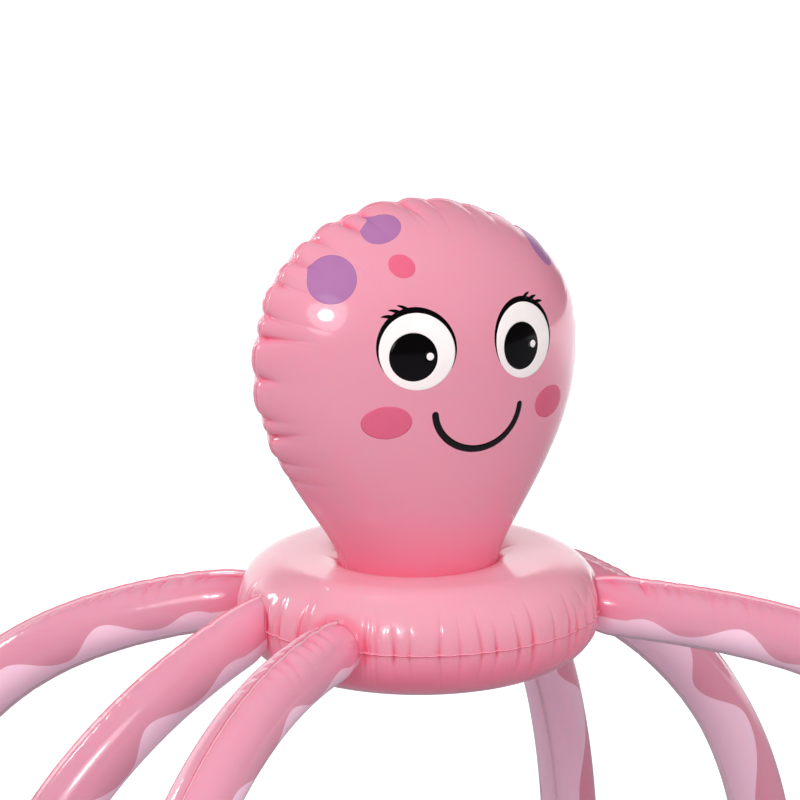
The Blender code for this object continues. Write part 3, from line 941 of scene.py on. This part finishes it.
def build_arm(name, index):
    """One arm's skin: two side panels welded along the top and underneath, and the sole."""
    line, tangent, along, radius, out, slope = arm_line(name)
    sideways = np.cross(np.array([0.0, 0.0, 1.0]), out)
    top = np.cross(tangent, sideways)

    # the print's edge waves along the arm, more the further out
    height = PRINT_WAVE[0] + (PRINT_WAVE[1] - PRINT_WAVE[0]) * smooth(along / 0.45)
    stretch = 1.2 if name in ("arm_e", "arm_f") else 1.0
    phase = np.interp(along / stretch, PRINT_TURNS, pi * np.arange(len(PRINT_TURNS)))
    edge = np.radians(PRINT_EDGE + height * np.cos(phase))
    steps_top = np.linspace(0.0, 1.0, SIDE_TOP + 1) ** 1.35
    steps_low = np.linspace(0.0, 1.0, SIDE_LOW + 1)[1:]
    half = np.concatenate([edge[:, None] * steps_top, edge[:, None] + (pi - edge[:, None]) * steps_low], 1)

    places = uneven_places(min(along[-1], 0.60), 0.020, 0.046, seed=60 + index)
    fading = np.exp(-(along / 0.32) ** 1.6)
    swell = scallop(along, np.append(places, places[-1] + 0.05), 0.07, 0.0030)
    top_drawn = (0.0030 - swell) * fading
    step = np.searchsorted(places, along) % 2
    zigzag = np.interp(along, places, np.where(np.arange(len(places)) % 2, 0.0028, -0.0020)) * fading
    zigzag *= np.where(step, 1.0, 0.8)

    low_places = uneven_places(along[-1], 0.05, 0.16, seed=80 + index)
    low_depths = np.random.default_rng(90 + index).uniform(0.0003, 0.0014, len(low_places))
    low_folds = Creases(low_places, low_depths, 0.045, broad=0.008)

    sides = []
    painted_shades = []
    for side in (1.0, -1.0):
        away = half * radius[:, None]
        folds = arm_folds(along[-1], index, side, ARM_SHAPES[name][3])
        dent = folds.dent(along[:, None], away) * smooth(away / 0.006)
        dent += low_folds.dent(along[:, None], pi * radius[:, None] - away)
        # painted shade on the arm's sides close to the ring, and in the folds' valleys
        near_ring = NEAR_PAINTED_SHADE * np.exp(-along[:, None] / 0.06) * np.sin(half) ** 2
        painted_shades.append(np.maximum(fold_painted_shade(dent, 0.012), near_ring))
        dent += top_drawn[:, None] * np.exp(-away / 0.012)
        tube = radius[:, None] - dent
        shift = zigzag[:, None] * np.exp(-away / 0.014)
        grid = (line[:, None, :] + top[:, None, :] * (tube * np.cos(half))[..., None]
                + sideways * (side * (tube * np.sin(half) + WELD_HALF) + shift)[..., None])
        sides.append(grid)
    right, left = sides

    # thin fins along both welds
    crest = right[:, 0] * 0.5 + left[:, 0] * 0.5
    under = right[:, -1] * 0.5 + left[:, -1] * 0.5
    thick = sideways * WELD_HALF
    top_fin = [crest + top * ARM_WELD - thick, crest + top * ARM_WELD + thick]
    low_fin = [under - top * ARM_WELD + thick, under - top * ARM_WELD - thick]
    loop = np.concatenate([right, low_fin[0][:, None], low_fin[1][:, None], left[:, ::-1],
                           top_fin[0][:, None], top_fin[1][:, None]], 1)

    # the root rounds in to a narrower weld loop that lies on the ring's skin
    root_rows = max(3, int(np.searchsorted(along, ROOT_LENGTH)))
    full = loop[root_rows].copy()
    centre = line[root_rows]
    offset = full - centre
    lengthwise = offset @ slope
    crosswise = offset - lengthwise[:, None] * slope
    contact = np.array([ring_contact(point, -slope)
                        for point in centre + crosswise * ROOT_SHRINK + lengthwise[:, None] * slope])
    reach = (contact - centre) @ slope
    for row in range(root_rows):
        share = row / root_rows
        width = ROOT_SHRINK + (1.0 - ROOT_SHRINK) * (1.0 - (1.0 - share) ** 2.4)
        loop[row] = centre + crosswise * width + (reach * (1.0 - share) + lengthwise * share)[:, None] * slope
    spoke = crosswise / np.linalg.norm(crosswise, axis=1, keepdims=True)
    base = loop[0] + slope * 0.0045
    rim = loop[0] + slope * 0.0035 + spoke * LOOP_FIN
    rim_above = rim + slope * 0.0012
    loop = np.concatenate([loop[:1], rim[None], rim_above[None], (base + slope * 0.0012)[None], loop[1:]], 0)

    rows, columns = loop.shape[:2]
    points = loop.reshape(-1, 3)
    faces = list(grid_faces(rows, columns))
    in_side = SIDE_TOP + SIDE_LOW + 1
    slots = np.zeros((rows - 1, columns), int)
    slots[:, SIDE_TOP:in_side + 2 + SIDE_LOW] = 1
    slots[:, in_side - 1:in_side + 2] = 2
    slots[:, -3:] = 2
    slots = list(slots.ravel())

    # closed at the ring by a fan that stays inside it, and at the ground by the sole with its weld
    last = (rows - 1) * columns
    centre_root = points[:columns].mean(0) - slope * 0.01
    sole_centre = line[-1].copy()
    spoke = points[last:last + columns] - sole_centre
    spoke[:, 2] = 0.0
    spoke /= np.maximum(np.linalg.norm(spoke, axis=1, keepdims=True), 1e-9)
    sole_edge = sole_centre + spoke * (ARM_FOOT_RADIUS + 0.006)
    sole_edge[:, 2] = SOLE_THICKNESS
    sole_under = sole_edge.copy()
    sole_under[:, 2] = 0.0
    count = len(points)
    points = np.concatenate([points, sole_edge, sole_under, [centre_root], [[*sole_centre[:2], 0.0]]])
    for column in range(columns):
        following = (column + 1) % columns
        faces.append([last + column, last + following, count + following, count + column])
        faces.append([count + column, count + following, count + columns + following,
                      count + columns + column])
        faces.append([count + columns + column, count + columns + following, count + 2 * columns + 1])
        faces.append([column, following, count + 2 * columns])
        slots += [1, 1, 1, 0]
    nothing = np.zeros((len(along), 2))
    # the welds get their own colour; the folds and the sides near the ring get painted shade
    weld_and_shade = np.concatenate([painted_shades[0], nothing, painted_shades[1][:, ::-1], nothing], 1)
    weld_and_shade = np.concatenate([weld_and_shade[:1], weld_and_shade[:3], weld_and_shade[1:]], 0)
    weld_and_shade[:, -2:] = 1.0
    weld_and_shade[:, [0, columns - 3]] = 0.65
    weld_and_shade[:, in_side:in_side + 2] = 0.7
    weld_and_shade[:, [in_side - 1, in_side + 2]] = 0.3
    weld_and_shade[:4] = 0.7
    weld_and_shade = np.concatenate([weld_and_shade.ravel(), np.zeros(2 * columns + 2)])
    made = make_piece(name + "_skin", points, faces, [*ARM_LOOKS, WELD_LOOK],
                      {"rest_place": points, "weld_and_shade": weld_and_shade}, slots)
    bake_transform(made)
    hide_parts(name + "_left_panel", name + "_right_panel", name + "_sole")
    return made


ARM_LOOKS = (vinyl("arm_vinyl_look", ARM_PINK, reach=0.05, glow=0.15),
             vinyl("arm_underside_look", UNDERSIDE, seam_and_shade_tint=PINK, reach=0.04, glow=0.15))


# ---------------------------------------------------------------- assembly
head = build_head()
build_prints(head)
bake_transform(head)
ring = build_ring()
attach(ring, "ring")
for number, arm_name in enumerate(ARM_SHAPES):
    build_arm(arm_name, number)
valve_look = clear_vinyl("valve_vinyl_look", VALVE_WHITE)
for node_name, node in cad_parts.items():
    if "valve" in node_name:
        node.data.materials.clear()
        node.data.materials.append(valve_look)


# ---------------------------------------------------------------- stage, light and camera
CAMERA_AZIMUTH = -30.4    # degrees, 0 looks along +Y
CAMERA_PITCH = 12.0       # degrees downwards
CAMERA_DISTANCE = 5.76    # along the ground from the ring's axis
CAMERA_RISE = 1.716       # above the ring's weld plane
LENS = 112.3              # millimetres on a 36 mm sensor


def toward(azimuth, elevation):
    """Unit vector from the object to something at an azimuth and elevation, in degrees."""
    azimuth, elevation = radians(azimuth), radians(elevation)
    return Vector((sin(azimuth) * cos(elevation), -cos(azimuth) * cos(elevation), sin(elevation)))


def add_light(name, azimuth, elevation, distance, size, power):
    """A round area light that faces the head and ring."""
    data = bpy.data.lights.new(name, "AREA")
    data.shape = "DISK"
    data.size = size
    data.energy = power
    lamp = bpy.data.objects.new(name, data)
    aim = Vector((0.0, 0.0, RING_HEIGHT + 0.3))
    lamp.location = aim + toward(azimuth, elevation) * distance
    lamp.rotation_euler = (lamp.location - aim).to_track_quat("Z", "Y").to_euler()
    bpy.context.scene.collection.objects.link(lamp)
    return lamp


def build_floor():
    """A pale paper floor. The camera sees it evenly lit; everything else sees only its bounce."""
    bpy.ops.mesh.primitive_plane_add(size=160.0, location=(0.0, 0.0, -0.002))
    floor = bpy.context.object
    floor.name = "studio_floor"
    paper = Nodes("studio_floor_look")
    shader = paper.shader
    shader.inputs["Base Color"].default_value = (0.38, 0.37, 0.41, 1.0)
    shader.inputs["Roughness"].default_value = 0.9
    shader.inputs["Specular IOR Level"].default_value = 0.0
    shader.inputs["Emission Color"].default_value = (1.0, 1.0, 1.0, 1.0)
    seen = paper.add("ShaderNodeLightPath").outputs["Is Camera Ray"]
    backwards = paper.add("ShaderNodeVectorMath", operation="DOT_PRODUCT")
    backwards.inputs[1].default_value = -toward(CAMERA_AZIMUTH, 0.0)
    paper.link(paper.add("ShaderNodeTexCoord").outputs["Object"], backwards.inputs[0])
    far = paper.ramp(backwards.outputs["Value"], 0.0, 0.95, 2.2, 7.0)
    glow = paper.add("ShaderNodeMix", data_type="FLOAT")
    paper.link(seen, glow.inputs[0])
    paper.link(far, glow.inputs[2])
    glow.inputs[3].default_value = 0.92
    paper.link(glow.outputs[0], shader.inputs["Emission Strength"])
    floor.data.materials.append(paper.material)


BACKDROP_TURN = 13.0      # how far its middle stands to the left of straight behind, degrees
BACKDROP_HALF = 37.0      # half width of the lit backdrop, degrees
BACKDROP_TOP = 25.0       # its top edge, degrees above the horizon


def build_world():
    """A dim room with a white lit backdrop behind the object, as seen from the camera."""
    world = bpy.data.worlds.new("studio")
    bpy.context.scene.world = world
    world.use_nodes = True
    tree = world.node_tree

    def step(value, low, high, result_low, result_high):
        node = tree.nodes.new("ShaderNodeMapRange")
        node.interpolation_type = "SMOOTHSTEP"
        for key, setting in (("From Min", low), ("From Max", high), ("To Min", result_low),
                             ("To Max", result_high)):
            node.inputs[key].default_value = setting
        tree.links.new(value, node.inputs["Value"])
        return node.outputs["Result"]

    def math(operation, first, second):
        node = tree.nodes.new("ShaderNodeMath")
        node.operation = operation
        for socket, value in zip(node.inputs, (first, second)):
            if isinstance(value, float):
                socket.default_value = value
            else:
                tree.links.new(value, socket)
        return node.outputs[0]

    def pick(choice, when_no, when_yes):
        node = tree.nodes.new("ShaderNodeMix")
        for socket, value in zip(node.inputs[:1] + node.inputs[2:4], (choice, when_no, when_yes)):
            if isinstance(value, float):
                socket.default_value = value
            else:
                tree.links.new(value, socket)
        return node.outputs[0]

    direction = tree.nodes.new("ShaderNodeTexCoord").outputs["Generated"]
    behind = tree.nodes.new("ShaderNodeVectorMath")
    behind.operation = "DOT_PRODUCT"
    behind.inputs[1].default_value = -toward(CAMERA_AZIMUTH + BACKDROP_TURN, 0.0)
    tree.links.new(direction, behind.inputs[0])
    parts = tree.nodes.new("ShaderNodeSeparateXYZ")
    tree.links.new(direction, parts.inputs[0])
    height = parts.outputs["Z"]
    level = math("SQRT", math("SUBTRACT", 1.0001, math("MULTIPLY", height, height)), 0.0)
    facing = math("DIVIDE", behind.outputs["Value"], level)
    edge = cos(radians(BACKDROP_HALF))
    inside = step(facing, edge - 0.11, edge + 0.11, 0.0, 1.0)
    top = sin(radians(BACKDROP_TOP))
    below_top = step(height, top - 0.15, top + 0.15, 1.0, 0.0)
    lit = math("MULTIPLY", inside, below_top)
    path = tree.nodes.new("ShaderNodeLightPath")
    mirrored = step(lit, 0.0, 1.0, ROOM_REFLECTED, BACKDROP_LEVEL)
    scattered = step(lit, 0.0, 1.0, ROOM_LEVEL, BACKDROP_LEVEL)
    strength = pick(path.outputs["Is Glossy Ray"], scattered, mirrored)
    strength = pick(path.outputs["Is Camera Ray"], strength, BACKDROP_LEVEL)
    tree.links.new(strength, tree.nodes["Background"].inputs["Strength"])
    tree.nodes["Background"].inputs["Color"].default_value = (0.98, 0.99, 1.0, 1.0)


ROOM_LEVEL = 0.55         # soft light that fills the room
ROOM_REFLECTED = 0.03     # what shows of the room in the gloss
BACKDROP_LEVEL = 1.10


def build_lights():
    """A lamp in a larger glow beside the camera; the key and the fill don't show in the gloss."""
    key = add_light("soft_box_key", CAMERA_AZIMUTH - 38.0, 44.0, 4.2, 2.0, 66.0)
    add_light("soft_box_front", CAMERA_AZIMUTH - 21.0, 27.0, 7.0, 1.2, 48.0)
    add_light("soft_box_glow", CAMERA_AZIMUTH - 21.0, 27.0, 7.1, 3.2, 58.0)
    fill = add_light("soft_box_fill", CAMERA_AZIMUTH + 48.0, 22.0, 5.0, 3.0, 84.0)
    add_light("soft_box_rim", CAMERA_AZIMUTH - 112.0, 20.0, 5.0, 1.1, 30.0)
    key.visible_glossy = False
    fill.visible_glossy = False


def build_camera():
    """The camera, at the viewing angle of the reference."""
    data = bpy.data.cameras.new("camera")
    data.lens = LENS
    data.sensor_width = 36.0
    data.shift_x = -0.02375
    data.clip_end = 300.0
    camera = bpy.data.objects.new("camera", data)
    camera.location = (toward(CAMERA_AZIMUTH, 0.0) * CAMERA_DISTANCE
                       + Vector((0.0, 0.0, RING_HEIGHT + CAMERA_RISE)))
    camera.rotation_euler = (radians(90.0 - CAMERA_PITCH), 0.0, radians(CAMERA_AZIMUTH))
    bpy.context.scene.collection.objects.link(camera)
    bpy.context.scene.camera = camera
    bpy.context.scene.view_settings.view_transform = "Standard"


build_floor()
build_world()
build_lights()
build_camera()
